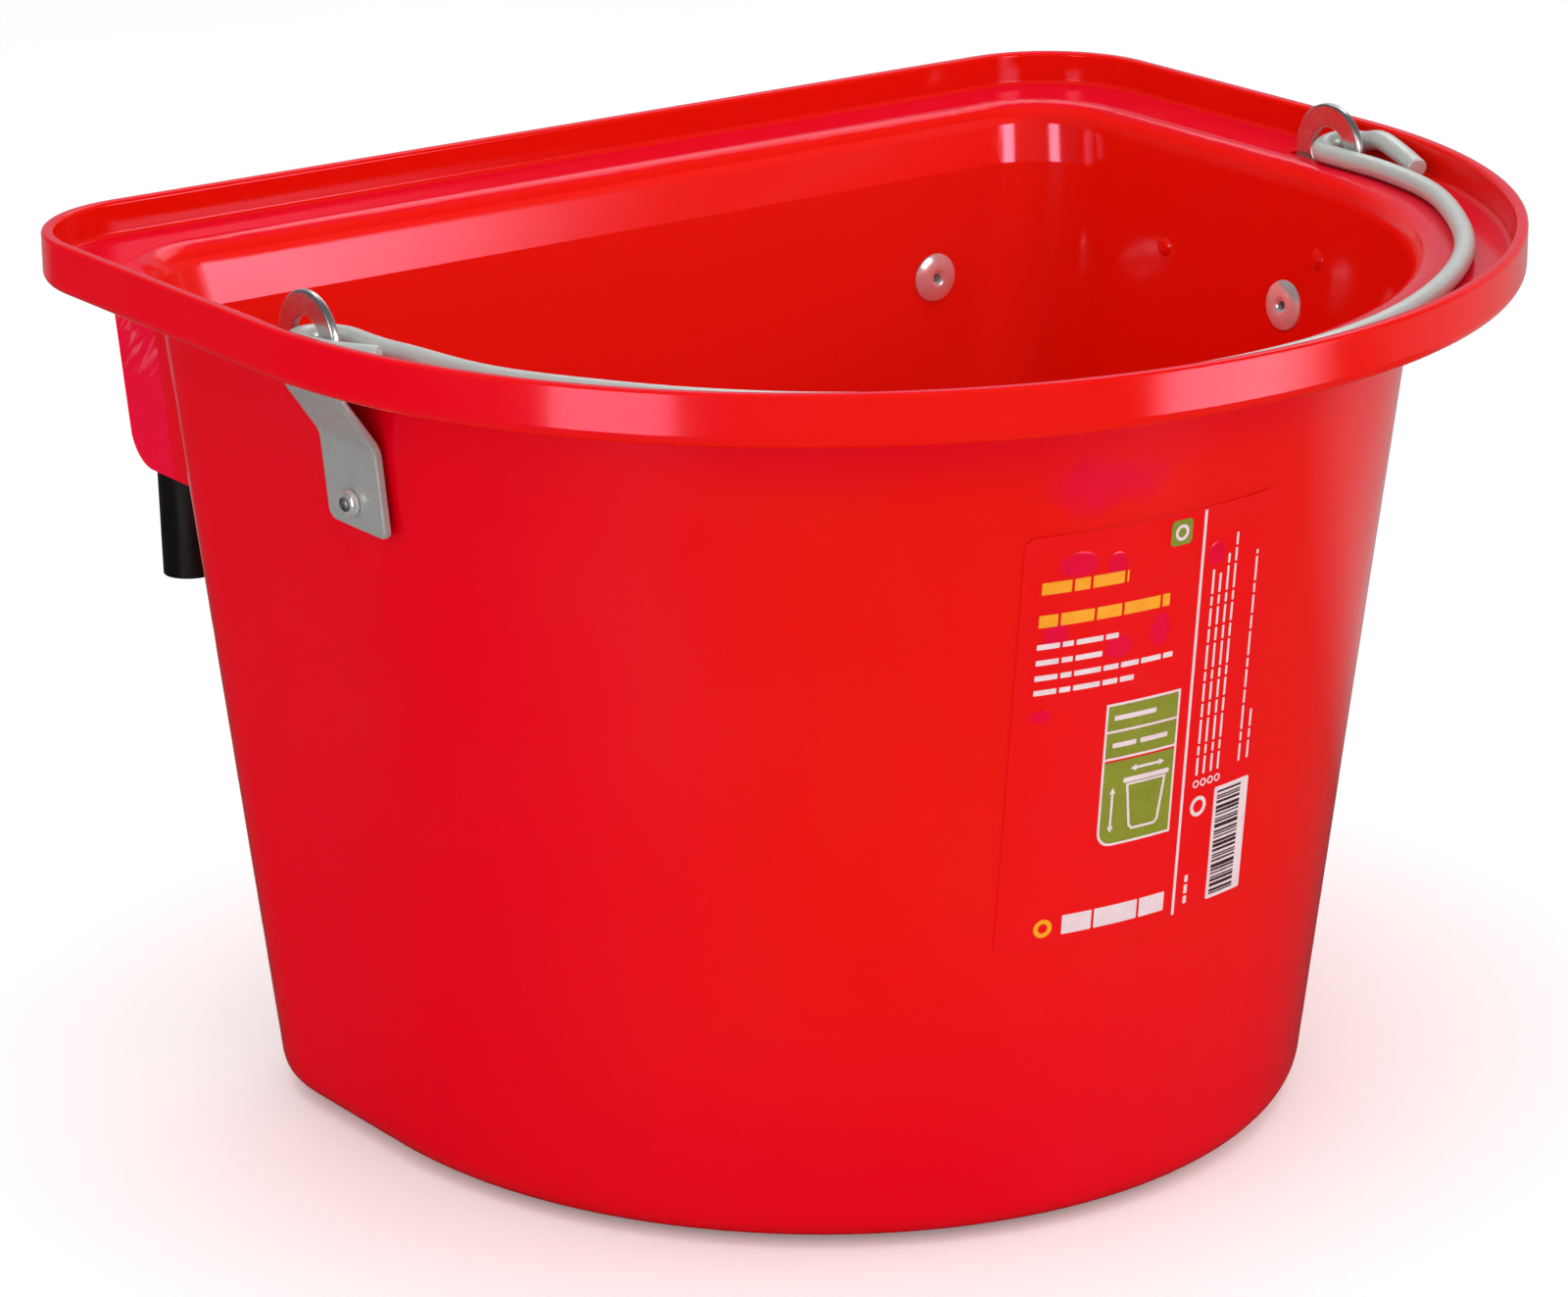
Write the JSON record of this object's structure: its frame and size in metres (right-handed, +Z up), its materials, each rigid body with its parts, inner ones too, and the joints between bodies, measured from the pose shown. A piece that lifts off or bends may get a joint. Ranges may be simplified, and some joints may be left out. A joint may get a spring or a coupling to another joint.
{
  "type": "hanging feed bucket",
  "caption": "D-shaped tapered feed bucket with a flanged rim, a swinging wire carrying handle in riveted eye brackets, and sleeved hooks behind the flat rear wall for a board.",
  "frame": {"origin": "on the floor under the feet, at the middle of the whole outline seen from above, hooks included", "axes": "+Z up out of the mouth, +Y toward the wall or board the hooks hang on, -Y the rounded front, X across; X = 0 is the mirror plane"},
  "size_m": [0.39, 0.3656, 0.2668],
  "materials": {
    "red_plastic": "glossy injection moulded polypropylene",
    "zinc_wire": "satin galvanised wire",
    "zinc_strip": "satin galvanised strip",
    "rivet": "bright aluminium",
    "mandrel": "dull steel",
    "black_sleeve": "satin black",
    "label_film": "clear film with plain printed bars"
  },
  "bodies": {
    "bucket": {"bucket_body": "red_plastic", "handle_bracket_left": "zinc_strip", "handle_bracket_right": "zinc_strip", "bracket_rivets": "rivet", "bracket_rivet_mandrels": "mandrel", "wall_hook_left": "zinc_strip", "wall_hook_right": "zinc_strip", "hook_sleeve_left": "black_sleeve", "hook_sleeve_right": "black_sleeve", "hook_rivets": "rivet", "hook_rivet_mandrels": "mandrel", "product_label": "label_film"},
    "handle": {"handle_bail": "zinc_wire"}
  },
  "joints": [
    {"name": "handle_swing", "type": "hinge", "parent": "bucket", "child": "handle", "pos_m": [0, 0.00116, 0.25365], "axis": [-1, 0, 0], "range_deg": [0, 168]}
  ]
}
